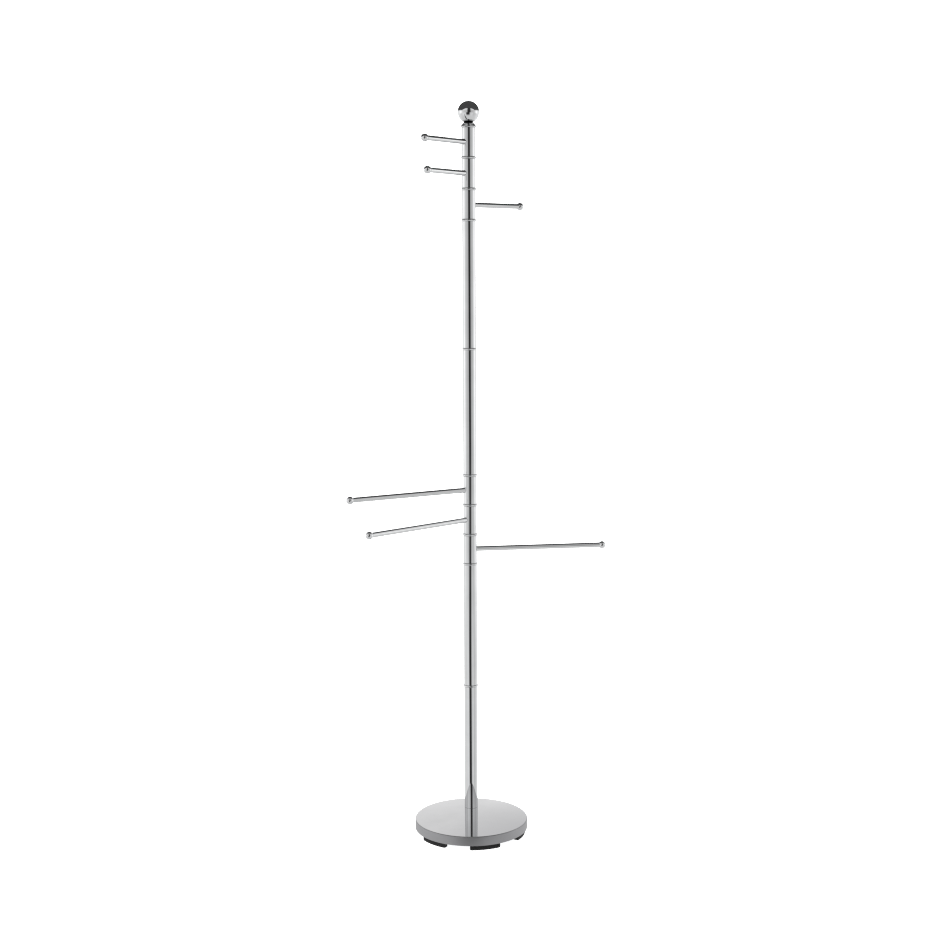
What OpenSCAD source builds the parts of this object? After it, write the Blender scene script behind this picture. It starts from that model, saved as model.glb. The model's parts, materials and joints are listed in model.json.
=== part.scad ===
// Standing coat rack: one stacked tube pole on a round weighted foot, with
// three short and three long arms that swivel around the pole.
// Origin: where the pole's axis meets the floor. +Z is up, the front is -Y.

/* [Base] */
// Diameter of the round foot
base_d = 265; // [230:5:320]
// Height of the foot's cover, without the rubber pads
base_h = 22; // [18:1:30]
// How far the foot's centre lies in front of the pole
base_offset = 72; // [40:2:80]
// Thickness of the pressed steel cover
cover_wall = 1.5; // [1:0.25:2.5]
// Radius of the cover's top edge
cover_edge_r = 2.5; // [1.5:0.5:4]
// Thickness of the plate that closes the foot from below
plate_t = 1.5; // [1:0.25:3]
// Height of the rubber pads
pad_h = 12; // [6:1:16]
// Width of a rubber pad, across its arc
pad_w = 12; // [8:1:16]
// Length of a rubber pad along its arc, in degrees
pad_arc = 33; // [15:1:45]
// Distance from the cover's side to the pads
pad_inset = 5; // [3:1:12]

/* [Pole] */
// Outer diameter of the pole's tubes
pole_d = 32; // [28:1:38]
// Wall of the pole's tubes and of the arms' sleeves
pole_wall = 1.5; // [1:0.25:2]
// Length of the tube that stands on the foot
foot_tube_len = 298; // [200:2:400]
// Length of each of the other three plain tubes
tube_len = 290; // [200:5:400]
// Free height between two rings that an arm's sleeve turns in
swivel_gap = 65.5; // [58:0.5:90]
// How far the bead rings stand out from the tubes
ring_proud = 2; // [1:0.5:7]
// Height of a bead ring
ring_h = 5; // [4:0.5:8]
// Diameter of the spindles that the sleeves turn on
spindle_d = 12; // [10:1:14]
// Step from a spindle down to its threaded ends; studs and base bolt match those
shoulder = 1; // [0.5:0.25:1.5]

/* [Top] */
// Diameter of the ball on top
finial_d = 50; // [40:1:60]
// How far the cap's rim stands out from the tubes
cap_proud = 3; // [2:0.5:7]
// Diameter of the cap where the ball sits on it
cap_top_d = 20; // [18:1:26]
// Height of the cap
cap_h = 12; // [8:0.5:20]

/* [Arms] */
// Diameter of the arm rods
arm_d = 12; // [10:1:14]
// Diameter of the balls at the arms' ends
tip_d = 18; // [16:1:24]
// Distance from the pole's axis to the ball of a short arm
short_reach = 145; // [100:5:220]
// Distance from the pole's axis to the ball of a long arm
long_reach = 320; // [240:5:380]
// Rest direction of the upper short arm
short_1_angle = 228; // [0:1:359]
// Rest direction of the middle short arm
short_2_angle = 231; // [0:1:359]
// Rest direction of the lower short arm
short_3_angle = 34; // [0:1:359]
// Rest direction of the upper long arm
long_1_angle = 213; // [0:1:359]
// Rest direction of the middle long arm
long_2_angle = 226; // [0:1:359]
// Rest direction of the lower long arm
long_3_angle = 9; // [0:1:359]

/* [Fits] */
// Gap at each end of a turning sleeve
end_gap = 0.3; // [0.3:0.05:0.6]
// Radial running clearance of the bushes on their spindle
running_gap = 0.05; // [0.02:0.01:0.1]

/* [Hidden] */
$fn = 96;

// Heights of the stack, from the floor up
cover_top = pad_h + base_h;
gaps = [
    foot_tube_len, tube_len, swivel_gap, swivel_gap, swivel_gap,
    tube_len, tube_len, swivel_gap, swivel_gap, swivel_gap
];
ring_count = len(gaps) - 1;
// Height of the underside of gap i, where its tube or sleeve starts
function gap_z(i) = i == 0 ? cover_top : gap_z(i - 1) + gaps[i - 1] + ring_h;
// Height of the underside of ring n, counted from 1 at the bottom
function ring_z(n) = gap_z(n) - ring_h;
collar_z = gap_z(ring_count) + gaps[ring_count];

// The plain tubes and the sleeves' gaps, by their place in the stack
tube_gaps = [0, 1, 5, 6];
long_gaps = [4, 3, 2];
short_gaps = [9, 8, 7];
arms = [
    ["short_1", short_gaps[0], short_reach, short_1_angle],
    ["short_2", short_gaps[1], short_reach, short_2_angle],
    ["short_3", short_gaps[2], short_reach, short_3_angle],
    ["long_1", long_gaps[0], long_reach, long_1_angle],
    ["long_2", long_gaps[1], long_reach, long_2_angle],
    ["long_3", long_gaps[2], long_reach, long_3_angle]
];
// Rings 1 and 6 join two plain tubes; rings 2, 5 and 7 seat a spindle's shoulder
stud_rings = [1, 6];
clamped_rings = [1, 2, 5, 6, 7];

pole_r = pole_d / 2;
bore_r = pole_r - pole_wall;
spindle_r = spindle_d / 2;
thread_r = spindle_r - shoulder;
thread_d = 2 * thread_r;
arm_r = arm_d / 2;
tip_r = tip_d / 2;
finial_r = finial_d / 2;

// How far a cutting shape runs past the face that it cuts
over = 1;
// How far a peg or spigot starts inside the piece that it belongs to
root = 2;

// Bead rings: flat at least as far out as the middle of the tube's wall
ring_r = pole_r + ring_proud;
ring_flat_r = max(ring_r - ring_h / 2, pole_r - pole_wall / 2);

// Plugs pressed into the tubes' ends, and how far a thread reaches into one
plug_h = 22;
thread_depth = 16;

// Foot: the cover's inside, and the pads' ring
base_r = base_d / 2;
inner_base_r = base_r - cover_wall;
inner_edge_r = cover_edge_r - cover_wall / 2;
weight_gap = 0.5;
plate_top = pad_h + plate_t;
weight_h = cover_top - cover_wall - plate_top;
pad_mid_r = base_r - pad_inset - pad_w / 2;
pad_count = 6;
pad_first_angle = 45;
peg_r = 3;
hole_gap = 0.25;

// Base bolt: a hexagon head sunk into the weight, with a washer above it. Both
// have the usual proportions to their thread
bolt_head_af = 1.7 * thread_d;
bolt_head_h = 0.64 * thread_d;
washer_r = 1.3 * thread_d;
washer_t = 0.2 * thread_d;
sink_gap = 1;
sink_r = washer_r + sink_gap;
sink_h = bolt_head_h + washer_t - plate_t;

// Top: the finial sits where its ball is as wide as the cap's top
finial_seat_drop = sqrt(finial_r * finial_r - cap_top_d * cap_top_d / 4);
cap_rim_r = 2;
finial_z = collar_z + cap_h + finial_seat_drop;
finial_thread = 14;

// Arms: spigot through the sleeve's wall, nut behind it, spigot into the ball
sleeve_len = swivel_gap - 2 * end_gap;
bush_h = 12;
spigot_step = 2;
spigot_r = arm_r - spigot_step;
nut_side = 2.5;
nut_end = 3;
nut_half_w = spigot_r + nut_side;
nut_half_h = spigot_r + nut_end;
nut_gap = 2.5;
spigot_gap = 1.5;
nut_back = spindle_r + nut_gap;
spigot_start = spindle_r + spigot_gap;
tip_flat = sqrt(tip_r * tip_r - arm_r * arm_r);
tip_spigot_r = arm_r / 2;
tip_spigot_len = 8;

// A ring or washer: r_out and r_in, standing on z = 0
module ring(r_out, r_in, h) {
    difference() {
        cylinder(r = r_out, h = h);
        translate([0, 0, -over]) cylinder(r = r_in, h = h + 2 * over);
    }
}

// A disc whose top edge is rounded with edge_r
module round_edged_disc(r, h, edge_r) {
    rotate_extrude() {
        square([r - edge_r, h]);
        square([r, h - edge_r]);
        translate([r - edge_r, h - edge_r]) intersection() {
            circle(r = edge_r);
            square(edge_r);
        }
    }
}

// A ball with a flat underneath, flat_drop below its centre, and a blind bore in the flat
module drilled_ball(r, flat_drop, hole_r, hole_depth) {
    rotate_extrude() difference() {
        circle(r = r);
        translate([-2 * r, -2 * r]) square([2 * r, 4 * r]);
        translate([0, -2 * r - flat_drop]) square(2 * r);
        translate([-over, -flat_drop - over]) square([hole_r + over, hole_depth + over]);
    }
}

// Moves its children to the foot's centre
module at_base_centre(z = 0) {
    translate([0, -base_offset, z]) children();
}

module base_cover() {
    color("gainsboro") difference() {
        at_base_centre(pad_h) round_edged_disc(base_r, base_h, cover_edge_r);
        at_base_centre(pad_h - over)
            round_edged_disc(inner_base_r, base_h - cover_wall + over, inner_edge_r);
        cylinder(r = thread_r + hole_gap, h = cover_top + over);
    }
}

module base_weight() {
    color("dimgray") difference() {
        at_base_centre(plate_top)
            cylinder(r = inner_base_r - cover_edge_r, h = weight_h);
        cylinder(r = thread_r + hole_gap, h = cover_top);
        cylinder(r = sink_r, h = plate_top + sink_h);
    }
}

module base_plate() {
    color("darkgray") difference() {
        at_base_centre(pad_h) cylinder(r = inner_base_r - weight_gap, h = plate_t);
        cylinder(r = sink_r, h = plate_top + over);
        for (i = [1:pad_count]) at_pad(i) translate([0, 0, -over])
            cylinder(r = peg_r, h = plate_t + 2 * over);
    }
}

// Moves its children to the middle of pad i, at the plate's underside
module at_pad(i) {
    at_base_centre(pad_h) rotate(pad_first_angle + (i - 1) * 360 / pad_count)
        translate([pad_mid_r, 0, 0]) children();
}

// One pad, cut from a ring by a wedge, and the peg that holds it in the plate
module rubber_pad(i) {
    wedge = 2 * base_r * [cos(pad_arc / 2), sin(pad_arc / 2)];
    color("black") {
        at_pad(i) translate([-pad_mid_r, 0, -pad_h]) intersection() {
            ring(pad_mid_r + pad_w / 2, pad_mid_r - pad_w / 2, pad_h);
            linear_extrude(pad_h) polygon([[0, 0], [wedge.x, -wedge.y], wedge]);
        }
        at_pad(i) translate([0, 0, -root]) cylinder(r = peg_r, h = root + plate_t);
    }
}

module base_bolt() {
    head_z = plate_top + sink_h - washer_t - bolt_head_h;
    color("silver") {
        translate([0, 0, head_z])
            cylinder(d = bolt_head_af / cos(30), h = bolt_head_h, $fn = 6);
        translate([0, 0, head_z])
            cylinder(r = thread_r, h = cover_top + thread_depth - head_z);
    }
}

module base_washer() {
    color("silver") translate([0, 0, plate_top + sink_h - washer_t])
        ring(washer_r, thread_r, washer_t);
}

module pole_tube(i) {
    color("gainsboro") translate([0, 0, gap_z(tube_gaps[i])])
        ring(pole_r, bore_r, gaps[tube_gaps[i]]);
}

// Threaded plugs pressed into both ends of the four plain tubes
module tube_plugs() {
    color("darkgray") for (g = tube_gaps) {
        translate([0, 0, gap_z(g)]) ring(bore_r, thread_r, plug_h);
        translate([0, 0, gap_z(g) + gaps[g] - plug_h]) ring(bore_r, thread_r, plug_h);
    }
}

module joint_studs() {
    color("silver") for (n = stud_rings)
        translate([0, 0, ring_z(n) - thread_depth])
            cylinder(r = thread_r, h = ring_h + 2 * thread_depth);
}

// A turned ring with a half-round bead around its outside
module bead_ring(n) {
    seated = len(search(n, clamped_rings)) > 0;
    color("gainsboro") translate([0, 0, ring_z(n)]) difference() {
        rotate_extrude() {
            square([ring_flat_r, ring_h]);
            translate([ring_r - ring_h / 2, ring_h / 2]) circle(d = ring_h);
        }
        translate([0, 0, -over])
            cylinder(r = seated ? thread_r : spindle_r, h = ring_h + 2 * over);
    }
}

// A spindle: full diameter from z0 to z1, with thinner threaded ends
module spindle(z0, z1, below, above) {
    translate([0, 0, z0]) cylinder(r = spindle_r, h = z1 - z0);
    translate([0, 0, z0 - below]) cylinder(r = thread_r, h = z1 - z0 + below + above);
}

module lower_spindle() {
    color("silver")
        spindle(gap_z(2), ring_z(5), ring_h + thread_depth, ring_h + thread_depth);
}

module upper_spindle() {
    color("silver")
        spindle(gap_z(7), collar_z, ring_h + thread_depth, cap_h + finial_thread);
}

module top_cap() {
    rim_r = pole_r + cap_proud - cap_rim_r;
    color("gainsboro") translate([0, 0, collar_z]) difference() {
        rotate_extrude() {
            polygon([
                [0, 0], [rim_r, 0], [rim_r, 2 * cap_rim_r],
                [cap_top_d / 2, cap_h], [0, cap_h]
            ]);
            translate([rim_r, cap_rim_r]) circle(r = cap_rim_r);
        }
        translate([0, 0, -over]) cylinder(r = thread_r, h = cap_h + 2 * over);
    }
}

module finial_ball() {
    color("gainsboro") translate([0, 0, finial_z])
        drilled_ball(finial_r, finial_seat_drop, thread_r, finial_thread);
}

// Moves its children to an arm's root: on the pole's axis, at its sleeve's middle
module at_arm(a) {
    translate([0, 0, gap_z(a[1]) + swivel_gap / 2]) rotate(a[3]) children();
}

module arm_sleeve(a) {
    color("gainsboro") at_arm(a) difference() {
        translate([0, 0, -sleeve_len / 2]) ring(pole_r, bore_r, sleeve_len);
        rotate([0, 90, 0]) cylinder(r = spigot_r, h = pole_d);
    }
}

module arm_bushes(a) {
    color("ivory") at_arm(a) for (z = [-sleeve_len / 2, sleeve_len / 2 - bush_h])
        translate([0, 0, z]) ring(bore_r, spindle_r + running_gap, bush_h);
}

// The rod is coped to sit on the sleeve, with a spigot at each end
module arm_rod(a) {
    rod_end = a[2] - tip_flat;
    color("gainsboro") at_arm(a) {
        difference() {
            rotate([0, 90, 0]) cylinder(r = arm_r, h = rod_end);
            cylinder(r = pole_r, h = 2 * arm_d, center = true);
        }
        translate([spigot_start, 0, 0]) rotate([0, 90, 0])
            cylinder(r = spigot_r, h = pole_r - spigot_start + root);
        translate([rod_end - root, 0, 0]) rotate([0, 90, 0])
            cylinder(r = tip_spigot_r, h = tip_spigot_len + root);
    }
}

// A saddle nut: its curved face follows the inside of the sleeve
module arm_nut(a) {
    color("silver") at_arm(a) difference() {
        intersection() {
            translate([0, 0, -nut_half_h]) cylinder(r = bore_r, h = 2 * nut_half_h);
            translate([nut_back, -nut_half_w, -nut_half_h])
                cube([pole_r, 2 * nut_half_w, 2 * nut_half_h]);
        }
        rotate([0, 90, 0]) cylinder(r = spigot_r, h = pole_d);
    }
}

module arm_tip(a) {
    color("gainsboro") at_arm(a) translate([a[2], 0, 0]) rotate([0, 90, 0])
        drilled_ball(tip_r, tip_flat, tip_spigot_r, tip_spigot_len);
}

base_cover();
base_weight();
base_plate();
base_bolt();
base_washer();
for (i = [1:pad_count])
    rubber_pad(i);
for (i = [1:len(tube_gaps)])
    pole_tube(i - 1);
tube_plugs();
joint_studs();
for (n = [1:ring_count])
    bead_ring(n);
lower_spindle();
upper_spindle();
top_cap();
finial_ball();
for (a = arms) {
    arm_sleeve(a);
    arm_bushes(a);
    arm_rod(a);
    arm_nut(a);
    arm_tip(a);
}
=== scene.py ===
# %% [markdown]
# # A standing coat rack in polished metal
#
# The real stand is a stack of chromed steel tubes on a round weighted foot, with six arms that
# swivel around the pole. Mirror-bright metal has almost no colour of its own: what the eye reads
# is the room around it. So this lesson spends its effort on three things: clean round meshes,
# finishes with the small faults that polishing leaves, and a studio worth reflecting.
#
# Everything is in metres, in the frame of the CAD model, so nothing has to be fitted by eye.

# %% Load the CAD model
import json
import math

import bmesh
import bpy
from mathutils import Matrix, Vector


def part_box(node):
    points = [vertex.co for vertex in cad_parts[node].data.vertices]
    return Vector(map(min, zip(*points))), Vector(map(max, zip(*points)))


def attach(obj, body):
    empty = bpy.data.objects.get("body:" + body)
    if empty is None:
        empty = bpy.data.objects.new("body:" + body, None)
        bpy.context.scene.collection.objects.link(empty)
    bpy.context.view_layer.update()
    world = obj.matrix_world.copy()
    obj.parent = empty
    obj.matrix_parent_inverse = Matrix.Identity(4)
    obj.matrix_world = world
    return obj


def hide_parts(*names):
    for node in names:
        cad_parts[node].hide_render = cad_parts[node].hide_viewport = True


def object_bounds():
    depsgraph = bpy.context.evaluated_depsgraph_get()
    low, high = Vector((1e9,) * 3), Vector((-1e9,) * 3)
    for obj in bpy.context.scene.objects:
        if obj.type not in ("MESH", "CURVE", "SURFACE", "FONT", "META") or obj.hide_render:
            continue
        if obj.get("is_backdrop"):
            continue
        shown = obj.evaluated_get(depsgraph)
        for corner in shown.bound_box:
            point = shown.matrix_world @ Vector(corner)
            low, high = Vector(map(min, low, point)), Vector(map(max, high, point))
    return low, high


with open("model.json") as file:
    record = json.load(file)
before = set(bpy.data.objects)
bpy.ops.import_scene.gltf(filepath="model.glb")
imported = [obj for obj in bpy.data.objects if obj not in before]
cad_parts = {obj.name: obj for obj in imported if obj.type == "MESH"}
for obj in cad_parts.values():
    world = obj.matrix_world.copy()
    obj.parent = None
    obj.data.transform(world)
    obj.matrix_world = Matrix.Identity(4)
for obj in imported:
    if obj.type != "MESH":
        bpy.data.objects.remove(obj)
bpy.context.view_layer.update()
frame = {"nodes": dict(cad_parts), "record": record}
nodes = frame["nodes"]
MM = 0.001

# %% [markdown]
# ## The camera
#
# The stand is seen from the front, from chest height and three and a half metres away, through
# a slightly long lens. The camera tips down a few degrees and leans a touch, as a hand-set
# tripod does. It could be aimed with a Track To constraint, but three plain rotations
# are easier to read and nothing in the scene depends on them.

# %% Place the camera
SENSOR, LENS = 36.0, 56.228  # millimetres
SEES_AS_FAR_AS = 50.0
CAMERA_DISTANCE, CAMERA_HEIGHT = 3.4643, 1.2669
TIP_DOWN, TURN_RIGHT, LEAN = [math.radians(degrees) for degrees in (7.037, 0.218, 0.212)]
camera_data = bpy.data.cameras.new("studio_camera")
camera_data.sensor_width = SENSOR
camera_data.lens = LENS
camera_data.clip_end = SEES_AS_FAR_AS
camera = bpy.data.objects.new("studio_camera", camera_data)
bpy.context.scene.collection.objects.link(camera)
camera.matrix_world = (
    Matrix.Translation((0, -CAMERA_DISTANCE, CAMERA_HEIGHT))
    @ Matrix.Rotation(-TURN_RIGHT, 4, "Z")
    @ Matrix.Rotation(math.radians(90) - TIP_DOWN, 4, "X")
    @ Matrix.Rotation(-LEAN, 4, "Z")
)
bpy.context.scene.camera = camera
print("camera at", [round(v, 3) for v in camera.matrix_world.translation], "lens", LENS)

# %% [markdown]
# ## Small helpers for shaders
#
# Colours are written as the hex values that a paint chart or a picture editor gives. Those are
# sRGB, and shaders want linear light, so one function converts them. A second function adds a
# shader node, sets it up and wires it in one line, which keeps each finish short enough to read.
# A Mix node has a pair of sockets for each kind of value, all called A and B, so those are picked
# by number, and the numbers get names here.

# %% Colour and node helpers
FLOAT_A, FLOAT_B, FLOAT_OUT = 2, 3, 0
COLOUR_A, COLOUR_B, COLOUR_OUT = 6, 7, 2


def linear(hex_colour):
    """An sRGB hex colour such as "#C4C6C8" as linear RGBA."""
    channels = [int(hex_colour[i : i + 2], 16) / 255 for i in (1, 3, 5)]
    return [c / 12.92 if c <= 0.04045 else ((c + 0.055) / 1.055) ** 2.4 for c in channels] + [1.0]


def add(tree, kind, inputs=None, stops=(), **settings):
    """Adds a node. inputs are values, or sockets to link; settings are its own properties; stops
    are a ramp's (position, value), where the value is a grey or a hex colour."""
    made = tree.nodes.new("ShaderNode" + kind)
    for name, value in settings.items():
        setattr(made, name, value)
    for name, value in (inputs or {}).items():
        if isinstance(value, bpy.types.NodeSocket):
            tree.links.new(value, made.inputs[name])
        else:
            made.inputs[name].default_value = value
    if stops:
        elements = made.color_ramp.elements
        while len(elements) < len(stops):
            elements.new(1.0)
        for element, (position, value) in zip(elements, stops):
            element.position = position
            element.color = linear(value) if isinstance(value, str) else (value, value, value, 1.0)
    return made


def new_finish(name):
    """A new material with its Principled shader; returns the material, its tree and the shader."""
    material = bpy.data.materials.new(name)
    material.use_nodes = True
    tree = material.node_tree
    return material, tree, tree.nodes["Principled BSDF"]


print("chrome grey in linear light:", [round(c, 3) for c in linear("#C6C8CA")])

# %% [markdown]
# ## Chrome plate on drawn tube
#
# Decorative chrome is a bright nickel layer under a fraction of a micron of chromium, so the
# tube keeps the surface that the polishing belt left: a very shallow waviness along its length
# and hair-fine belt lines around it. Its reflectance is about 55%, and slightly blue. The eye
# sees it as wobbles in the long stripes that the studio makes, never as a colour. Real belt lines
# are some 0.02 mm apart, too fine to show, so they are drawn 1.2 mm apart and very faint.

# %% Material: chrome plate, belt polished tube
WAVE_LENGTH, WAVE_WIDTH, WAVE_DEPTH = 60 * MM, 15 * MM, 0.02 * MM
BELT_PITCH, BELT_REACH, BELT_DEPTH = 1.2 * MM, 125 * MM, 0.002 * MM
FILM_PATCH = 45 * MM


def chromed_tube():
    """Chrome on tube: waviness, belt lines and patches of film from handling."""
    material, tree, shader = new_finish("chrome_plate_belt_polished_tube")
    shader.inputs["Metallic"].default_value = 1.0
    place = add(tree, "TexCoord").outputs["Object"]
    # waves are longer along the pole than across it
    stretched = add(tree, "Mapping", {
        "Vector": place, "Scale": (1 / WAVE_WIDTH, 1 / WAVE_WIDTH, 1 / WAVE_LENGTH),
    })
    waves = add(tree, "TexNoise", {
        "Vector": stretched.outputs["Vector"], "Scale": 1.0, "Detail": 1.5,
    })
    # belt lines run around the tube, so the noise changes fast only along it
    around = add(tree, "Mapping", {
        "Vector": place, "Scale": (1 / BELT_REACH, 1 / BELT_REACH, 1 / BELT_PITCH),
    })
    lines = add(tree, "TexNoise", {"Vector": around.outputs["Vector"], "Scale": 1.0, "Detail": 2.0})
    wavy = add(tree, "Bump", {
        "Height": waves.outputs["Fac"], "Distance": WAVE_DEPTH, "Strength": 0.6,
    })
    lined = add(tree, "Bump", {
        "Height": lines.outputs["Fac"], "Distance": BELT_DEPTH, "Strength": 0.5,
        "Normal": wavy.outputs["Normal"],
    })
    # where there is film, the plate is a little less sharp and less bright
    film = add(tree, "TexNoise", {
        "Vector": place, "Scale": 1 / FILM_PATCH, "Detail": 4.0, "Roughness": 0.6,
    }).outputs["Fac"]
    gloss = add(tree, "ValToRGB", {"Fac": film}, stops=[(0.35, 0.015), (0.75, 0.05)])
    tint = add(tree, "ValToRGB", {"Fac": film}, stops=[(0.3, "#CBCCCD"), (0.8, "#C2C3C4")])
    tree.links.new(lined.outputs["Normal"], shader.inputs["Normal"])
    tree.links.new(gloss.outputs["Color"], shader.inputs["Roughness"])
    tree.links.new(tint.outputs["Color"], shader.inputs["Base Color"])
    return material


tube_chrome = chromed_tube()
print("made", tube_chrome.name)

# %% [markdown]
# ## Chrome plate on turned parts
#
# The bead rings, cap, balls and rods are turned on a lathe and buffed before plating. Buffing
# rounds off the tool marks and leaves a softly dappled skin, like the peel of an orange but far
# flatter: dimples 2 to 3 mm wide and a few microns deep. The plate is the same as on the tube, but
# the buffed skin is a little sharper.
#
# The cap and the ball on it meet in a seam, and their version carries painted shade there: its colour
# darkens within a few millimetres of the seam.

# %% Material: chrome plate, buffed turning
DIMPLE, DIMPLE_DEPTH = 2.5 * MM, 0.004 * MM
SMEAR_PATCH = 20 * MM
# the painted shade is darkest this near the seam, and gone this far from it
SEAM_HALF = 1.0 * MM
SEAM_FADE = 4.0 * MM


def chromed_turning(name, seam_z=None):
    """Chrome on a turned part; seam_z is the height of a seam where shade is painted into the colour.
    """
    material, tree, shader = new_finish(name)
    shader.inputs["Metallic"].default_value = 1.0
    place = add(tree, "TexCoord").outputs["Object"]
    dapple = add(tree, "TexNoise", {"Vector": place, "Scale": 1 / DIMPLE, "Detail": 1.0})
    dappled = add(tree, "Bump", {
        "Height": dapple.outputs["Fac"], "Distance": DIMPLE_DEPTH, "Strength": 0.5,
    })
    film = add(tree, "TexNoise", {
        "Vector": place, "Scale": 1 / SMEAR_PATCH, "Detail": 3.0,
    }).outputs["Fac"]
    gloss = add(tree, "ValToRGB", {"Fac": film}, stops=[(0.35, 0.015), (0.8, 0.045)])
    tint = add(tree, "ValToRGB", {"Fac": film},
               stops=[(0.3, "#CDCECF"), (0.8, "#C4C5C6")]).outputs["Color"]
    if seam_z is not None:
        height = add(tree, "SeparateXYZ", {"Vector": place}).outputs["Z"]
        offset = add(tree, "Math", {0: height, 1: seam_z}, operation="SUBTRACT")
        distance = add(tree, "Math", {0: offset.outputs["Value"]}, operation="ABSOLUTE")
        # painted shade: the colour goes dark near the seam where the ball sits on the cap
        seam_shade = add(tree, "MapRange", {
            "Value": distance.outputs["Value"], "From Min": SEAM_HALF, "From Max": SEAM_FADE,
            "To Min": 1.0, "To Max": 0.0,
        })
        tint = add(tree, "Mix", {
            "Factor": seam_shade.outputs["Result"], COLOUR_A: tint, COLOUR_B: linear("#2A2A2B"),
        }, data_type="RGBA").outputs[COLOUR_OUT]
    tree.links.new(dappled.outputs["Normal"], shader.inputs["Normal"])
    tree.links.new(gloss.outputs["Color"], shader.inputs["Roughness"])
    tree.links.new(tint, shader.inputs["Base Color"])
    return material


cap_seam_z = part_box("top_cap")[1].z
turned_chrome = chromed_turning("chrome_plate_buffed_turning")
seam_shaded_chrome = chromed_turning("chrome_plate_buffed_turning_with_painted_shade_at_seam", cap_seam_z)
print("made", turned_chrome.name, "and", seam_shaded_chrome.name, "seam at", round(cap_seam_z, 4))

# %% [markdown]
# ## Stainless steel, pressed and polished
#
# The foot's cover is pressed from stainless sheet and polished on a turntable. Stainless reflects
# a little more than chrome but less sharply, and the mop leaves faint circles around the centre.
# The rim and side band are only linished, because the mop can't reach them as well, so they are
# duller; their darker colour is painted shade, for the shaded floor close under the foot that they
# mirror. The top's colour is also a little darker towards the front right, a painted shade. The
# circles are about 0.1 mm apart on the real one; they are drawn 1.5 mm apart. A mask by height
# separates the satin band from the mirror top.

# %% Material: polished stainless pressing
CIRCLE_PITCH, CIRCLE_DEPTH = 1.5 * MM, 0.003 * MM
MOP_PATCH = 60 * MM
# how far under the top the polish starts to fade and the band's painted shade begins, and where the
# polish has gone and the shade is full
POLISH_FULL, POLISH_GONE = 0.1 * MM, 0.5 * MM
# painted shade: the top's colour darkens towards one side; its direction, and from where to where it
# fades
SHADED_SIDE_TOWARDS = (0.8, -0.6, 0.0)
SIDE_SHADE_FROM, SIDE_SHADE_TO = -20 * MM, 130 * MM


def polished_stainless(centre, top_z):
    """Stainless for the foot's cover: a mirror top with mop circles, darker to one side in painted
    shade, and a satin band darkened in painted shade.
    """
    material, tree, shader = new_finish("stainless_steel_pressed_mop_polished")
    shader.inputs["Metallic"].default_value = 1.0
    place = add(tree, "TexCoord").outputs["Object"]
    from_centre = add(tree, "Mapping", {"Vector": place, "Location": (-centre.x, -centre.y, 0.0)})
    parts = add(tree, "SeparateXYZ", {"Vector": from_centre.outputs["Vector"]})
    flat = add(tree, "CombineXYZ", {"X": parts.outputs["X"], "Y": parts.outputs["Y"]})
    radius = add(tree, "VectorMath", {0: flat.outputs["Vector"]}, operation="LENGTH")
    # circles: noise along the radius only, so each ring has one value all the way round
    rings = add(tree, "TexNoise", {
        "W": radius.outputs["Value"], "Scale": 1 / CIRCLE_PITCH, "Detail": 2.0,
    }, noise_dimensions="1D")
    circles = add(tree, "Bump", {
        "Height": rings.outputs["Fac"], "Distance": CIRCLE_DEPTH, "Strength": 0.5,
    })
    patches = add(tree, "TexNoise", {
        "Vector": place, "Scale": 1 / MOP_PATCH, "Detail": 4.0,
    }).outputs["Fac"]
    # 1 on the flat top, 0 on the rim and the band below it
    polished_and_unshaded = add(tree, "MapRange", {
        "Value": parts.outputs["Z"], "From Min": top_z - POLISH_GONE, "From Max": top_z - POLISH_FULL,
    }).outputs["Result"]
    top_gloss = add(tree, "ValToRGB", {"Fac": patches}, stops=[(0.35, 0.02), (0.75, 0.06)])
    gloss = add(tree, "Mix", {
        "Factor": polished_and_unshaded, FLOAT_A: 0.5, FLOAT_B: top_gloss.outputs["Color"],
    }, data_type="FLOAT")
    top_tint = add(tree, "ValToRGB", {"Fac": patches}, stops=[(0.3, "#D2D2D3"), (0.75, "#CBCBCC")])
    # painted shade: the top's colour darkens towards the front right
    across = add(tree, "VectorMath", {0: from_centre.outputs["Vector"], 1: SHADED_SIDE_TOWARDS},
                 operation="DOT_PRODUCT")
    side_shade = add(tree, "MapRange", {
        "Value": across.outputs["Value"], "From Min": SIDE_SHADE_FROM, "From Max": SIDE_SHADE_TO,
    })
    side_shaded_tint = add(tree, "Mix", {
        "Factor": side_shade.outputs["Result"], COLOUR_A: top_tint.outputs["Color"],
        COLOUR_B: linear("#BCBCBE"),
    }, data_type="RGBA")
    # painted shade: the rim and band get a darker colour, for the shaded floor close under the foot
    # that they mirror
    tint = add(tree, "Mix", {
        "Factor": polished_and_unshaded, COLOUR_A: linear("#98989A"), COLOUR_B: side_shaded_tint.outputs[COLOUR_OUT],
    }, data_type="RGBA")
    tree.links.new(circles.outputs["Normal"], shader.inputs["Normal"])
    tree.links.new(gloss.outputs[FLOAT_OUT], shader.inputs["Roughness"])
    tree.links.new(tint.outputs[COLOUR_OUT], shader.inputs["Base Color"])
    return material


cover_low, cover_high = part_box("base_cover")
foot_centre = (cover_low + cover_high) / 2
foot_r = (cover_high.x - cover_low.x) / 2
stainless = polished_stainless(foot_centre, cover_high.z)
print("made", stainless.name, "for a foot of", round(2 * foot_r / MM), "mm")

# %% [markdown]
# ## Moulded rubber
#
# The pads are black rubber, compression moulded against a steel tool that was spark eroded. That
# leaves an even matt grain about 0.4 mm across, drawn here at 0.8 mm, and the rubber carries a
# trace of grey bloom and dust. Rubber is a dielectric with an IOR near 1.5, and very rough.

# %% Material: black rubber, moulded
GRAIN, GRAIN_DEPTH = 0.8 * MM, 0.05 * MM
BLOOM_PATCH = 12 * MM


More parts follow.
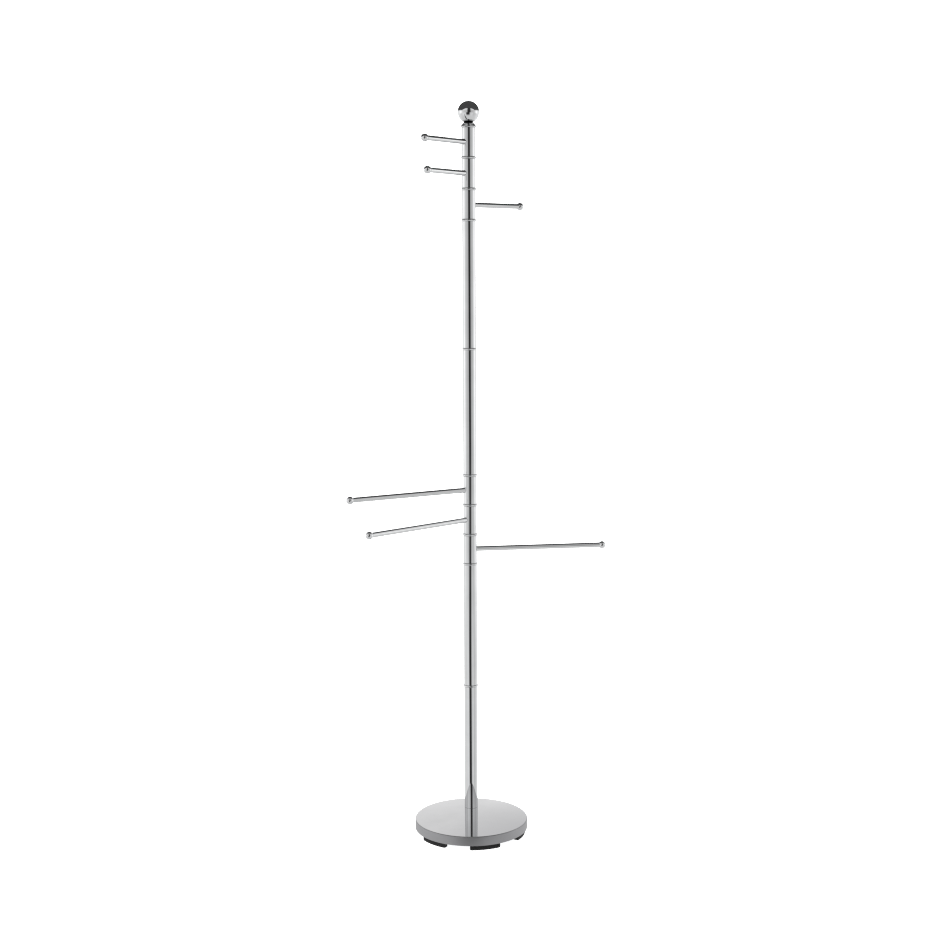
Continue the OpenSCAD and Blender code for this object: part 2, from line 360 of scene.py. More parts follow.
def moulded_rubber():
    """Black rubber: an even grain from the tool, and grey bloom in patches."""
    material, tree, shader = new_finish("black_rubber_compression_moulded")
    shader.inputs["IOR"].default_value = 1.51
    shader.inputs["Specular IOR Level"].default_value = 0.3
    place = add(tree, "TexCoord").outputs["Object"]
    grain = add(tree, "TexVoronoi", {"Vector": place, "Scale": 1 / GRAIN})
    grained = add(tree, "Bump", {
        "Height": grain.outputs["Distance"], "Distance": GRAIN_DEPTH, "Strength": 0.6,
    })
    bloom = add(tree, "TexNoise", {
        "Vector": place, "Scale": 1 / BLOOM_PATCH, "Detail": 5.0,
    }).outputs["Fac"]
    tint = add(tree, "ValToRGB", {"Fac": bloom}, stops=[(0.35, "#070708"), (0.8, "#161618")])
    dull = add(tree, "ValToRGB", {"Fac": bloom}, stops=[(0.3, 0.62), (0.8, 0.82)])
    tree.links.new(grained.outputs["Normal"], shader.inputs["Normal"])
    tree.links.new(tint.outputs["Color"], shader.inputs["Base Color"])
    tree.links.new(dull.outputs["Color"], shader.inputs["Roughness"])
    return material


rubber = moulded_rubber()
print("made", rubber.name)

# %% [markdown]
# ## The finishes that stay out of sight
#
# The bolt, washer, studs, plugs, spindles, nuts and the plate under the foot are zinc plated
# steel: a pale blue-grey with a spangle of crystals a couple of millimetres wide. The weight is
# grey cast iron in black wash, rough from the sand mould. The bushes are natural nylon, milky
# and slightly waxy, turned from rod. They show only when the stand is turned over or taken apart,
# and each still gets a real finish.

# %% Material: zinc plate on steel
SPANGLE, SPANGLE_DEPTH = 2 * MM, 0.01 * MM


def zinc_plate():
    """Bright zinc: each crystal has its own grey and its own gloss."""
    material, tree, shader = new_finish("zinc_plate_bright_on_steel")
    shader.inputs["Metallic"].default_value = 1.0
    place = add(tree, "TexCoord").outputs["Object"]
    crystals = add(tree, "TexVoronoi", {"Vector": place, "Scale": 1 / SPANGLE})
    shade = add(tree, "SeparateColor", {"Color": crystals.outputs["Color"]}).outputs["Red"]
    tint = add(tree, "ValToRGB", {"Fac": shade}, stops=[(0.0, "#A9AEB4"), (1.0, "#C2C6CA")])
    dull = add(tree, "ValToRGB", {"Fac": shade}, stops=[(0.0, 0.24), (1.0, 0.38)])
    spangle = add(tree, "Bump", {"Height": shade, "Distance": SPANGLE_DEPTH, "Strength": 0.4})
    tree.links.new(spangle.outputs["Normal"], shader.inputs["Normal"])
    tree.links.new(tint.outputs["Color"], shader.inputs["Base Color"])
    tree.links.new(dull.outputs["Color"], shader.inputs["Roughness"])
    return material


zinc = zinc_plate()
print("made", zinc.name)

# %% Material: cast iron, sand cast
SAND, SAND_DEPTH = 1.2 * MM, 0.25 * MM


def sand_cast_iron():
    """Grey iron in black wash: pits from the sand, where the wash lies thicker."""
    material, tree, shader = new_finish("grey_cast_iron_sand_cast_black_wash")
    shader.inputs["Metallic"].default_value = 0.6
    place = add(tree, "TexCoord").outputs["Object"]
    sand = add(tree, "TexNoise", {
        "Vector": place, "Scale": 1 / SAND, "Detail": 5.0, "Roughness": 0.7,
    }).outputs["Fac"]
    pitted = add(tree, "Bump", {"Height": sand, "Distance": SAND_DEPTH, "Strength": 0.8})
    tint = add(tree, "ValToRGB", {"Fac": sand}, stops=[(0.35, "#242323"), (0.7, "#454341")])
    dull = add(tree, "ValToRGB", {"Fac": sand}, stops=[(0.3, 0.85), (0.75, 0.6)])
    tree.links.new(pitted.outputs["Normal"], shader.inputs["Normal"])
    tree.links.new(tint.outputs["Color"], shader.inputs["Base Color"])
    tree.links.new(dull.outputs["Color"], shader.inputs["Roughness"])
    return material


iron = sand_cast_iron()
print("made", iron.name)

# %% Material: nylon, turned
TOOL_PITCH, TOOL_REACH, TOOL_DEPTH = 0.6 * MM, 50 * MM, 0.02 * MM


def turned_nylon():
    """Natural nylon: milky, with the fine rings that the turning tool leaves."""
    material, tree, shader = new_finish("natural_nylon_turned")
    shader.inputs["IOR"].default_value = 1.53
    shader.inputs["Subsurface Weight"].default_value = 0.15
    shader.inputs["Subsurface Scale"].default_value = 2.0 * MM
    place = add(tree, "TexCoord").outputs["Object"]
    around = add(tree, "Mapping", {
        "Vector": place, "Scale": (1 / TOOL_REACH, 1 / TOOL_REACH, 1 / TOOL_PITCH),
    })
    marks = add(tree, "TexNoise", {
        "Vector": around.outputs["Vector"], "Scale": 1.0, "Detail": 1.0,
    }).outputs["Fac"]
    turned = add(tree, "Bump", {"Height": marks, "Distance": TOOL_DEPTH, "Strength": 0.5})
    tint = add(tree, "ValToRGB", {"Fac": marks}, stops=[(0.3, "#DAD5C4"), (0.7, "#E6E2D3")])
    dull = add(tree, "ValToRGB", {"Fac": marks}, stops=[(0.3, 0.38), (0.7, 0.52)])
    tree.links.new(turned.outputs["Normal"], shader.inputs["Normal"])
    tree.links.new(tint.outputs["Color"], shader.inputs["Base Color"])
    tree.links.new(dull.outputs["Color"], shader.inputs["Roughness"])
    return material


nylon = turned_nylon()
print("made", nylon.name)

# %% Finish the CAD pieces that keep their shape
ARMS = ["short_1", "short_2", "short_3", "long_1", "long_2", "long_3"]
ZINC_NODES = ["base_plate", "base_bolt", "base_washer", "tube_plugs", "joint_studs"]
ZINC_NODES += ["lower_spindle", "upper_spindle"] + [arm + "_nut" for arm in ARMS]
node_finish = {name: zinc for name in ZINC_NODES}
node_finish.update({arm + "_bushes": nylon for arm in ARMS})
node_finish["base_weight"] = iron
for name, material in node_finish.items():
    slots = nodes[name].data.materials
    slots.clear()
    slots.append(material)
print("CAD nodes that keep their shape:", len(node_finish))

# %% [markdown]
# ## Turning shapes on a lathe
#
# Nearly every visible piece was turned or drawn, so nearly every mesh is a profile spun around an
# axis. Blender's Screw modifier could do it, but a few lines of mesh code give full control of
# where the points go: many around the axis, because mirror metal shows every flat, and a small
# chamfer on each end, because a real edge always catches a line of light. A profile is a closed
# list of (radius, height) points, read around the section with the material on its left.

# %% Lathe helpers
AROUND = 128
ON_AXIS = 1e-7


def arc(centre_r, centre_z, radius, start, end, steps):
    """Points of a round stretch of a profile, from one angle to another, in degrees."""
    angles = [math.radians(start + (end - start) * i / steps) for i in range(steps + 1)]
    return [(centre_r + radius * math.cos(a), centre_z + radius * math.sin(a)) for a in angles]


def spun_mesh(profile, axis_frame, around=AROUND):
    """A bmesh of a closed profile spun around the Z axis of axis_frame."""
    mesh = bmesh.new()
    rings = []
    turns = [2 * math.pi * i / around for i in range(around)]
    for r, z in profile:
        if r < ON_AXIS:
            # a point on the axis is one vertex, shared all the way round
            rings.append([mesh.verts.new(axis_frame @ Vector((0, 0, z)))] * around)
            continue
        rings.append([mesh.verts.new(axis_frame @ Vector((r * math.cos(t), r * math.sin(t), z)))
                      for t in turns])
    for k, ring in enumerate(rings):
        above = rings[(k + 1) % len(rings)]
        for i in range(around):
            j = (i + 1) % around
            corners = list(dict.fromkeys([ring[i], ring[j], above[j], above[i]]))
            if len(corners) > 2:
                mesh.faces.new(corners)
    return mesh


def piece_from(mesh, name, body, stands_for, material, sharp=35.0):
    """Turns a bmesh into a smooth-shaded piece that rides on its body in place of a CAD node."""
    bmesh.ops.recalc_face_normals(mesh, faces=mesh.faces)
    data = bpy.data.meshes.new(name)
    mesh.to_mesh(data)
    mesh.free()
    data.polygons.foreach_set("use_smooth", [True] * len(data.polygons))
    data.set_sharp_from_angle(angle=math.radians(sharp))
    data.materials.append(material)
    piece = bpy.data.objects.new(name, data)
    bpy.context.scene.collection.objects.link(piece)
    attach(piece, body)
    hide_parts(stands_for)
    return piece


def tube_profile(z0, z1, r_in, r_out, chamfer):
    """A length of tube with both its outer edges chamfered."""
    return [
        (r_in, z0), (r_out - chamfer, z0), (r_out, z0 + chamfer),
        (r_out, z1 - chamfer), (r_out - chamfer, z1), (r_in, z1),
    ]


POLE = Matrix.Identity(4)
print("a spun piece has", AROUND, "sides")

# %% [markdown]
# ## The plain tubes of the pole
#
# Four lengths of 32 mm tube carry the stand, all of one width. On the real one the saw cut is
# dressed with a small chamfer so that the plating doesn't build up into a burr; that chamfer is
# the fine dark line next to each ring.

# %% Pole tubes
TUBE_WALL = 1.5 * MM
CHAMFER = 0.35 * MM
tube_names = sorted(n for n in nodes if n.startswith("pole_tube_"))
for name in tube_names:
    low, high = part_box(name)
    pole_r = (high.x - low.x) / 2
    section = tube_profile(low.z, high.z, pole_r - TUBE_WALL, pole_r, CHAMFER)
    piece_from(spun_mesh(section, POLE), name + "_drawn", "stand", name, tube_chrome)
    print(name, "is", round((high.z - low.z) / MM, 1), "mm long")
flat_depth = pole_r * (1 - math.cos(math.pi / AROUND))
print("each is", round(2 * pole_r / MM, 1), "mm across and round to", round(flat_depth / MM, 4), "mm")

# %% [markdown]
# ## The bead rings
#
# Each ring is a turned washer with a half-round bead that stands 2 mm proud of the tube. The
# bead's upper half looks up at the dark ceiling of the studio and its lower half down at the pale
# floor, which is why every ring reads as a dark line over a bright one. A thin neck on both faces
# keeps the bead clear of the tube's chamfer, as the turner's parting tool leaves it.

# %% Rings
BEAD_STEPS = 20
NECK_H = 0.3 * MM
ring_names = sorted(n for n in nodes if n.startswith("bead_ring_"))
for name in ring_names:
    low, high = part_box(name)
    bore_r = min(v.co.xy.length for v in nodes[name].data.vertices)
    outer_r = (high.x - low.x) / 2
    half_h = (high.z - low.z) / 2 - NECK_H
    middle_z = (low.z + high.z) / 2
    bead = arc(outer_r - half_h, middle_z, half_h, -90, 90, BEAD_STEPS)
    neck_r = pole_r - CHAMFER
    section = [(bore_r, low.z), (neck_r, low.z), (neck_r, low.z + NECK_H)] + bead
    section += [(neck_r, high.z - NECK_H), (neck_r, high.z), (bore_r, high.z)]
    piece_from(spun_mesh(section, POLE), name + "_turned", "stand", name, turned_chrome)
print(len(ring_names), "rings", round(2 * outer_r / MM, 1), "mm across, bead",
      round(2 * half_h / MM, 1), "mm high")

# %% [markdown]
# ## The cap and the ball on top
#
# A shallow cone with a rounded rim closes the top sleeve, and a ball sits on it. The cone swells
# a little halfway up, as a cap spun over a former does, and ends at the ball's seat. The ball's
# flat rests on it. A mirror ball like this shows the whole studio at once: it is the best place
# to judge the lighting from.

# %% Cap
RIM_ROUND = 2.0 * MM
# the rim's round ends this many degrees up, where the cone begins
RIM_END, RIM_ARC_STEPS = 75, 16
CONE_STEPS = 10
CONE_SWELL = 0.4 * MM
TOUCHING = 0.01 * MM
cap_low, cap_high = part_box("top_cap")
cap_verts = [v.co for v in nodes["top_cap"].data.vertices]
cap_bore_r = min(v.xy.length for v in cap_verts)
seat_r = max(v.xy.length for v in cap_verts if v.z > cap_high.z - TOUCHING)
rim_r = (cap_high.x - cap_low.x) / 2 - RIM_ROUND
rim = arc(rim_r, cap_low.z + RIM_ROUND, RIM_ROUND, -90, RIM_END, RIM_ARC_STEPS)
start_r, start_z = rim[-1]
cone = []
for i in range(1, CONE_STEPS + 1):
    t = i / CONE_STEPS
    swell = CONE_SWELL * math.sin(math.pi * t)
    cone.append((start_r + (seat_r - start_r) * t + swell, start_z + (cap_high.z - start_z) * t))
cap_section = [(cap_bore_r, cap_low.z), (rim_r, cap_low.z)] + rim[1:] + cone
cap_section += [(cap_bore_r, cap_high.z)]
piece_from(spun_mesh(cap_section, POLE), "top_cap_turned", "stand", "top_cap", seam_shaded_chrome,
           sharp=50.0)
print("cap", round(2 * (rim_r + RIM_ROUND) / MM, 1), "mm across, seat", round(2 * seat_r / MM, 1))

# %% Finial ball
BALL_STEPS = 64
ball_low, ball_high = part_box("finial_ball")
ball_r = (ball_high.x - ball_low.x) / 2
ball_z = ball_high.z - ball_r


def ball_section(radius, flat_r, steps=BALL_STEPS):
    """A ball about its own centre, cut flat underneath where it is 2 * flat_r wide."""
    start = -math.degrees(math.acos(flat_r / radius))
    round_part = arc(0, 0, radius, start, 90, steps)
    round_part[-1] = (0.0, radius)
    return [(0.0, round_part[0][1])] + round_part


finial_frame = Matrix.Translation((0, 0, ball_z))
piece_from(spun_mesh(ball_section(ball_r, seat_r), finial_frame), "finial_ball_buffed", "stand",
           "finial_ball", seam_shaded_chrome)
print("finial", round(2 * ball_r / MM, 1), "mm across, centred", round(ball_z, 4), "m up")

# %% [markdown]
# ## The arms
#
# Each arm is a sleeve of the pole's own tube, a straight 12 mm rod and a ball. The rod's end is
# coped, cut to the curve of the sleeve, and silver soldered, which leaves a fillet less than a
# millimetre wide. Coping is one formula: a point on the rod's skin, y off its axis, meets the
# sleeve where x is the square root of R squared less y squared.
#
# The arm's direction is read from the frame, so that the meshes follow the CAD wherever its arms
# point, and each arm's pieces ride on that arm's body.

# %% The coped rod
ROD_AROUND = 72
FILLET = 0.8 * MM
FILLET_STEPS = 6


def coped_rod(rod_r, sleeve_r, rod_end, arm_frame):
    """A rod along X that starts on the sleeve's skin in a small fillet and ends flat."""
    mesh = bmesh.new()
    turns = [2 * math.pi * i / ROD_AROUND for i in range(ROD_AROUND)]
    rings = []
    for k in range(FILLET_STEPS + 1):
        # a quarter-round hollow fillet: wide at the sleeve, nothing at the rod
        t = math.radians(90 * k / FILLET_STEPS)
        skin_r, along = rod_r + FILLET * (1 - math.sin(t)), FILLET * (1 - math.cos(t))
        skin = [(skin_r * math.cos(turn), skin_r * math.sin(turn)) for turn in turns]
        spots = [(math.sqrt(sleeve_r**2 - y * y) + along, y, z) for y, z in skin]
        rings.append([mesh.verts.new(arm_frame @ Vector(spot)) for spot in spots])
    spots = [(rod_end, rod_r * math.cos(turn), rod_r * math.sin(turn)) for turn in turns]
    end_ring = [mesh.verts.new(arm_frame @ Vector(spot)) for spot in spots]
    rings.append(end_ring)
    for ring, above in zip(rings, rings[1:]):
        for i in range(ROD_AROUND):
            j = (i + 1) % ROD_AROUND
            mesh.faces.new([ring[i], ring[j], above[j], above[i]])
    mesh.faces.new(end_ring)
    root_centre = mesh.verts.new(arm_frame @ Vector((sleeve_r - FILLET, 0, 0)))
    for i in range(ROD_AROUND):
        mesh.faces.new([rings[0][(i + 1) % ROD_AROUND], rings[0][i], root_centre])
    return mesh


print("a rod has", ROD_AROUND, "sides and a solder fillet of", round(FILLET / MM, 1), "mm")

# %% The six arms
TIP_STEPS, TIP_AROUND = 32, 64
# what buffing takes off the radius of an end ball
POLISH_LOSS = 0.02 * MM
mounts = {m["name"]: Vector(m["pos_m"]) for m in frame["record"]["mounts"]}
for arm in ARMS:
    low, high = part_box(arm + "_sleeve")
    section = tube_profile(low.z, high.z, pole_r - TUBE_WALL, pole_r, CHAMFER)
    piece_from(spun_mesh(section, POLE), arm + "_sleeve_drawn", arm, arm + "_sleeve", tube_chrome)

    rod_low, rod_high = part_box(arm + "_rod")
    tip_low, tip_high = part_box(arm + "_tip")
    rod_r = (rod_high.z - rod_low.z) / 2
    tip_r = (tip_high.z - tip_low.z) / 2
    reach = max(v.co.xy.length for v in nodes[arm + "_tip"].data.vertices) - tip_r
    ball_skin = tip_r - POLISH_LOSS
    hang = mounts[arm + "_hang"]
    heading = math.atan2(hang.y, hang.x)
    arm_frame = (
        Matrix.Translation((0, 0, (rod_low.z + rod_high.z) / 2)) @ Matrix.Rotation(heading, 4, "Z")
    )
    seat = reach - math.sqrt(ball_skin**2 - rod_r**2)
    piece_from(coped_rod(rod_r, pole_r, seat, arm_frame), arm + "_rod_coped", arm, arm + "_rod",
               turned_chrome)
    ball_up = Matrix.Rotation(math.radians(90), 4, "Y")
    tip_frame = arm_frame @ Matrix.Translation((reach, 0, 0)) @ ball_up
    tip = spun_mesh(ball_section(ball_skin, rod_r, TIP_STEPS), tip_frame, TIP_AROUND)
    piece_from(tip, arm + "_tip_buffed", arm, arm + "_tip", turned_chrome)
    print(arm, "reaches", round(reach / MM, 1), "mm at", round(math.degrees(heading)), "degrees")

# %% [markdown]
# ## The foot's cover
#
# One pressing: a flat top, a rim of 2.5 mm radius, a short side wall and a lower edge turned in
# a little so that it doesn't mark the floor. The pole isn't at its centre, so the bolt hole is
# off centre too. The flat top is filled between two loops, the rim's inner edge and the bolt
# hole, which keeps the flat perfectly flat: on mirror metal even a slightly bent normal shows.

# %% Foot cover
SHEET = 1.5 * MM
RIM_R, RIM_STEPS = 2.5 * MM, 10
# the lower edge turns in by this much, from this many degrees below level
HEM, HEM_START, HEM_STEPS = 0.6 * MM, -60, 3
COVER_AROUND = 192
HOLE_R, HOLE_AROUND = 5.25 * MM, 48


def loop_of(mesh, centre, radius, z, count=COVER_AROUND):
    """A closed loop of edges around centre; returns its vertices and edges."""
    turns = [2 * math.pi * i / count for i in range(count)]
    verts = [mesh.verts.new((centre.x + radius * math.cos(t), centre.y + radius * math.sin(t), z))
             for t in turns]
    edges = [mesh.edges.new((verts[i], verts[(i + 1) % count])) for i in range(count)]
    return verts, edges


def bridge(mesh, first, second):
    """Quads between two loops with the same count."""
    for i in range(len(first)):
        j = (i + 1) % len(first)
        mesh.faces.new([first[i], first[j], second[j], second[i]])


def foot_cover(centre, z0, z1, radius):
    """The pressing, as two skins joined at the lower edge and around the bolt hole."""
    mesh = bmesh.new()
    inner_rim = max(RIM_R - SHEET, HEM)
    outside = [(radius - HEM, z0)] + arc(radius - HEM, z0 + HEM, HEM, HEM_START, 0, HEM_STEPS)
    outside += arc(radius - RIM_R, z1 - RIM_R, RIM_R, 0, 90, RIM_STEPS)
    inside = [(radius - SHEET, z0)]
    inside += arc(radius - SHEET - inner_rim, z1 - SHEET - inner_rim, inner_rim, 0, 90, RIM_STEPS)
    walls = []
    for path in (outside, inside):
        loops = [loop_of(mesh, centre, r, z) for r, z in path]
        for (lower, _), (upper, _) in zip(loops, loops[1:]):
            bridge(mesh, lower, upper)
        walls.append(loops)
    bridge(mesh, walls[0][0][0], walls[1][0][0])
    pole_axis = Vector((0, 0, 0))
    holes = [loop_of(mesh, pole_axis, HOLE_R, z, HOLE_AROUND) for z in (z1, z1 - SHEET)]
    bridge(mesh, holes[0][0], holes[1][0])
    for wall, hole in zip(walls, holes):
        bmesh.ops.triangle_fill(mesh, edges=wall[-1][1] + hole[1], use_beauty=True)
    return mesh


piece_from(foot_cover(foot_centre, cover_low.z, cover_high.z, foot_r), "base_cover_pressed", "stand",
           "base_cover", stainless, sharp=30.0)
print("cover", round((cover_high.z - cover_low.z) / MM, 1), "mm high,", round(-foot_centre.y / MM),
      "mm forward of the pole")

# %% [markdown]
# ## The rubber pads
#
# Six arc-shaped blocks stand just inside the rim. Moulded rubber has no sharp edges, so each is a
# swept section with rounded lower corners that shrinks a little at both ends. A shallow groove
# runs along the outer side, which is where the two halves of the mould meet.

# %% Pads
PAD_ROUND, CORNER_STEPS = 1.2 * MM, 4
PAD_GROOVE = 0.3 * MM
PAD_STEPS = 20
END_SHRINK = PAD_ROUND * 0.5


def pad_section(r_in, r_out, z0, z1):
    """The pad's section as (radius, height), with round corners and a parting groove outside."""
    middle = (z0 + z1) / 2
    section = arc(r_in + PAD_ROUND, z0 + PAD_ROUND, PAD_ROUND, 180, 270, CORNER_STEPS)
    section += arc(r_out - PAD_ROUND, z0 + PAD_ROUND, PAD_ROUND, 270, 360, CORNER_STEPS)
    section += [
        (r_out, middle - PAD_GROOVE), (r_out - PAD_GROOVE, middle), (r_out, middle + PAD_GROOVE),
        (r_out, z1), (r_in, z1),
    ]
    return section


def rubber_pad(name):
    """A pad swept around the foot's centre through the angle that the CAD pad covers."""
    spots = [v.co - foot_centre for v in nodes[name].data.vertices]
    radii = [s.xy.length for s in spots]
    r_in, r_out = min(radii), max(radii)
    mean = sum((s.xy.normalized() for s in spots), Vector((0, 0)))
    middle = math.atan2(mean.y, mean.x)
    offsets = [(math.atan2(s.y, s.x) - middle + math.pi) % (2 * math.pi) - math.pi for s in spots]
    half = max(offsets)
    z0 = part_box(name)[0].z
    mesh = bmesh.new()
    rings = []
    for i in range(PAD_STEPS + 1):
        t = -1 + 2 * i / PAD_STEPS
        angle = middle + half * t
        shrink = END_SHRINK if abs(t) == 1 else 0.0
        section = pad_section(r_in + shrink, r_out - shrink, z0 + shrink, cover_low.z)
        ring = [foot_centre + Vector((r * math.cos(angle), r * math.sin(angle), 0))
                for r, _ in section]
        rings.append([mesh.verts.new((p.x, p.y, z)) for p, (_, z) in zip(ring, section)])
    for ring, following in zip(rings, rings[1:]):
        bridge(mesh, ring, following)
    for end in (rings[0], rings[-1]):
        mesh.faces.new(end)
    return mesh, math.degrees(middle)


pad_names = sorted(n for n in nodes if n.startswith("rubber_pad_"))
for name in pad_names:
    mesh, heading_deg = rubber_pad(name)
    piece_from(mesh, name + "_moulded", "stand", name, rubber, sharp=40.0)
    print(name, "points", round(heading_deg), "degrees from +X")

# %% [markdown]
# ## The floor
#
# A plain pale floor: white acrylic, lit from above and a little from below, as the light table in
# a product studio is. The light from below is what keeps the shadow under the foot so faint. The
# floor is left out of glossy rays, so that the chrome shows the studio's own pale
# lower half instead of one endless white sheet.

# %% Floor
STAGE_R = 30.0
STAGE_SIDES = 96


def studio_sheet(name, corners, faces, finish_name, colour, roughness, glow):
    """A sheet of the studio, matt, of one colour and with a white glow of its own."""
    data = bpy.data.meshes.new(name)
    data.from_pydata(corners, [], faces)
    sheet = bpy.data.objects.new(name, data)
    bpy.context.scene.collection.objects.link(sheet)
    material, _, shader = new_finish(finish_name)
    shader.inputs["Base Color"].default_value = linear(colour)
    shader.inputs["Roughness"].default_value = roughness
    shader.inputs["Specular IOR Level"].default_value = 0.0
    shader.inputs["Emission Color"].default_value = linear("#FFFFFF")
    shader.inputs["Emission Strength"].default_value = glow
    data.materials.append(material)
    return sheet


stage_turns = [2 * math.pi * i / STAGE_SIDES for i in range(STAGE_SIDES)]
edge = [(STAGE_R * math.cos(t), STAGE_R * math.sin(t)) for t in stage_turns]
floor = studio_sheet(
    "studio_floor", [(x, y, 0.0) for x, y in edge], [tuple(range(STAGE_SIDES))],
    "white_acrylic_light_table", "#F4F4F4", roughness=0.9, glow=0.72,
)
floor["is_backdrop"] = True
floor.visible_glossy = False
print("floor", 2 * STAGE_R, "m across")

# %% [markdown]
# ## The backdrop
#
# A white roll of paper all the way round, closed overhead, far behind the stand, so that it can
# be seen from any side. It is for the eye only: the metal looks past it, and the lamps shine
# through it.

# %% Backdrop
wall_verts = [(x, y, z) for z in (-STAGE_R, STAGE_R) for x, y in edge]
wall_faces = [(i, (i + 1) % STAGE_SIDES, STAGE_SIDES + (i + 1) % STAGE_SIDES, STAGE_SIDES + i)
              for i in range(STAGE_SIDES)]
lid = tuple(range(STAGE_SIDES, 2 * STAGE_SIDES))
backdrop_paper = studio_sheet(
    "white_backdrop", wall_verts, wall_faces + [lid],
    "white_paper_roll_lit", "#FFFFFF", roughness=0.5, glow=1.0,
)
backdrop_paper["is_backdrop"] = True
backdrop_paper.visible_glossy = False
backdrop_paper.visible_diffuse = False
backdrop_paper.visible_shadow = False
print("backdrop", 2 * STAGE_R, "m across")

# %% [markdown]
# ## The studio that the metal mirrors
#
# Chrome is drawn by its surroundings. A vertical tube squeezes the whole horizon into its width,
# so the studio is described by compass direction: a narrow dark gap in front, where the camera
# and its operator stand, grey flats on both sides of it, a bright box of light at each side, a
# greyer gap behind those, and a bright backdrop. Below the horizon the same pattern is softer,
# because a pale table spreads the light. The world shader is the right place for this, because it
# needs no meshes and can't be bumped by the arms.

# %% World: brightness by compass direction
STRENGTH = 1.7
# compass bearing, in degrees to the right of the camera side, and brightness
HORIZON = [
    (-180, 1.20), (-150, 1.25), (-125, 1.28), (-109, 1.41), (-98, 1.66), (-84, 1.68), (-76, 1.40),
    (-63, 1.05), (-44, 0.87), (-27, 0.78), (-14, 0.70), (-7, 0.04), (19, 0.04), (27, 0.62),
    (41, 0.72), (59, 0.82), (70, 0.98), (80, 1.35), (92, 1.66), (104, 1.62), (120, 1.25),
    (138, 1.15), (180, 1.20),
]
# the same, for directions that point 14 degrees or more below the horizon
BELOW = [
    (-180, 1.15), (-143, 1.15), (-107, 1.16), (-82, 1.02), (-61, 1.13), (-40, 1.14), (-27, 0.95),
    (-21, 0.04), (11, 0.04), (17, 0.85), (25, 0.92), (43, 1.05), (61, 0.80), (82, 0.90),
    (107, 1.16), (143, 1.15), (180, 1.15),
]
world = bpy.data.worlds.new("studio")
bpy.context.scene.world = world
world.use_nodes = True
studio_tree = world.node_tree
axes = add(studio_tree, "SeparateXYZ", {
    "Vector": add(studio_tree, "TexCoord").outputs["Generated"],
})
toward = add(studio_tree, "Math", {0: axes.outputs["Y"], 1: -1.0}, operation="MULTIPLY")
bearing = add(studio_tree, "Math", {
    0: axes.outputs["X"], 1: toward.outputs["Value"],
}, operation="ARCTAN2").outputs["Value"]
turn = add(studio_tree, "MapRange", {"Value": bearing, "From Min": -math.pi, "From Max": math.pi})
# a ramp runs from 0 to 1 all the way round, and holds brightness as a part of the strength
level, lower = [
    add(studio_tree, "ValToRGB", {"Fac": turn.outputs["Result"]},
        stops=[((degrees + 180) / 360, value / STRENGTH) for degrees, value in table])
    for table in (HORIZON, BELOW)
]
print("studio with", len(HORIZON), "bearings at the horizon and", len(BELOW), "below it")

# %% [markdown]
# ## How the studio changes with height
#
# Three things change with height above the horizon. The front gains a little from the lamps above
# it, the side boxes end soon, and the backdrop loses light slowly. Higher still everything gives
# way to a plain grey ceiling, and far down to the table. Each change is one fade between two
# angles, so they are kept in one table and made in one loop.

# %% World: fades
CEILING, TABLE = 0.42, 0.93
rise = add(studio_tree, "Math", {0: axes.outputs["Z"]}, operation="ARCSINE").outputs["Value"]
sideways = add(studio_tree, "Math", {0: bearing}, operation="ABSOLUTE").outputs["Value"]
# what is measured, the two angles in degrees, and the values at them
FADES = {
    "to_below": (rise, -6, -14, 0.0, 1.0),
    "front_gains": (rise, 9, 17, 1.0, 1.35),
    "boxes_end": (rise, 6, 12, 1.0, 0.62),
    "backdrop_loses": (rise, 6, 22, 1.0, 0.76),
    "to_boxes": (sideways, 50, 75, 0.0, 1.0),
    "to_backdrop": (sideways, 115, 140, 0.0, 1.0),
    "to_ceiling": (rise, 34, 46, 0.0, 1.0),
    "to_table": (rise, -28, -45, 0.0, 1.0),
}
fade = {}
for name, (measured, start, end, start_value, end_value) in FADES.items():
    fade[name] = add(studio_tree, "MapRange", {
        "Value": measured, "From Min": math.radians(start), "From Max": math.radians(end),
        "To Min": start_value, "To Max": end_value,
    }).outputs["Result"]
print("fades:", ", ".join(fade))

# %% World: put together
walls = add(studio_tree, "Mix", {
    "Factor": fade["to_below"], COLOUR_A: level.outputs["Color"], COLOUR_B: lower.outputs["Color"],
}, data_type="RGBA")
near = add(studio_tree, "Mix", {
    "Factor": fade["to_boxes"], FLOAT_A: fade["front_gains"], FLOAT_B: fade["boxes_end"],
}, data_type="FLOAT")
gain = add(studio_tree, "Mix", {
    "Factor": fade["to_backdrop"], FLOAT_A: near.outputs[FLOAT_OUT],
    FLOAT_B: fade["backdrop_loses"],
}, data_type="FLOAT")
lit_walls = add(studio_tree, "Mix", {
    "Factor": 1.0, COLOUR_A: walls.outputs[COLOUR_OUT], COLOUR_B: gain.outputs[FLOAT_OUT],
}, data_type="RGBA", blend_type="MULTIPLY")
roofed = add(studio_tree, "Mix", {
    "Factor": fade["to_ceiling"], COLOUR_A: lit_walls.outputs[COLOUR_OUT],
    COLOUR_B: [CEILING / STRENGTH] * 3 + [1.0],
}, data_type="RGBA")
studio = add(studio_tree, "Mix", {
    "Factor": fade["to_table"], COLOUR_A: roofed.outputs[COLOUR_OUT],
    COLOUR_B: [TABLE / STRENGTH] * 3 + [1.0],
}, data_type="RGBA")
background = studio_tree.nodes["Background"]
studio_tree.links.new(studio.outputs[COLOUR_OUT], background.inputs["Color"])
background.inputs["Strength"].default_value = STRENGTH
print("the studio's shader has", len(studio_tree.nodes), "nodes")

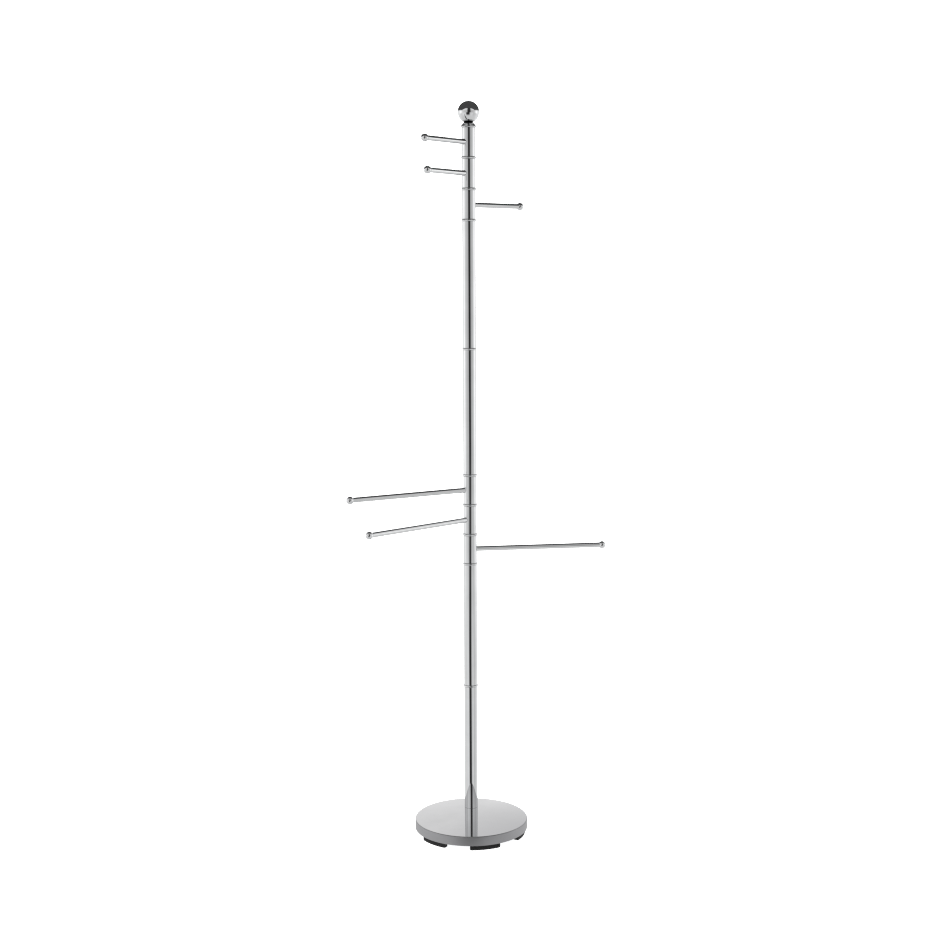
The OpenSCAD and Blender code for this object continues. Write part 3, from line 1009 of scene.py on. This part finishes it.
# %% [markdown]
# ## A black card overhead
#
# The ball and the upper arms have a nearly black top edge, the lower arms a grey one. One ceiling
# can't do both, but a black card hung just above the stand can: it fills the sky of whatever is
# close to it and looks small from further down. It is there only for reflections, so it casts no
# shadow and no camera sees it.

# %% Black card
CARD_HEIGHT = 1.95
CARD_X = 1.1
CARD_FRONT = -0.42
CARD_BACK = 1.3
card_corners = [
    (-CARD_X, CARD_FRONT, CARD_HEIGHT), (CARD_X, CARD_FRONT, CARD_HEIGHT),
    (CARD_X, CARD_BACK, CARD_HEIGHT), (-CARD_X, CARD_BACK, CARD_HEIGHT),
]
card = studio_sheet(
    "black_card", card_corners, [(0, 1, 2, 3)],
    "black_cotton_velvet", "#1C1C1C", roughness=1.0, glow=0.06,
)
card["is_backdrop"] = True
card.visible_camera = False
card.visible_diffuse = False
card.visible_shadow = False
print("card", 2 * CARD_X, "by", CARD_BACK - CARD_FRONT, "m, at", CARD_HEIGHT, "m")

# %% [markdown]
# ## The lamps
#
# The floor has to be one even white from the foot to the horizon. A lamp near the stand would
# leave the far floor grey, so the main light is a sun lamp, which lights every part of a plane
# alike. Its disc is drawn very wide, as an overcast sky is, and that leaves only a faint contact
# shadow. A second one from the front lifts the rubber. Both are hidden from glossy rays: a white
# spot on the ceiling would show on every ball. Colours are shown as they are, with the Standard
# view transform, so that white stays white, and the renderer's filter is a little narrower than
# usual, which keeps thin lines crisp.

# %% Lamps
def soft_sun(name, direction, spread_deg, strength):
    """A very wide sun lamp shining along direction, hidden from reflections."""
    data = bpy.data.lights.new(name, "SUN")
    data.angle = math.radians(spread_deg)
    data.energy = strength
    lamp = bpy.data.objects.new(name, data)
    lamp.rotation_mode = "QUATERNION"
    lamp.rotation_quaternion = Vector(direction).to_track_quat("-Z", "Y")
    lamp.visible_glossy = False
    bpy.context.scene.collection.objects.link(lamp)


soft_sun("overhead_sky", direction=(0, 0.1, -1), spread_deg=120, strength=4.2)
soft_sun("front_fill", direction=(0.3, 1, -0.5), spread_deg=60, strength=0.8)
bpy.context.scene.view_settings.view_transform = "Standard"
bpy.context.scene.cycles.filter_width = 1.25

# %% Print the sizes and finish
low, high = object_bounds()
print("visual box:", [round(v, 4) for v in (*low, *high)])
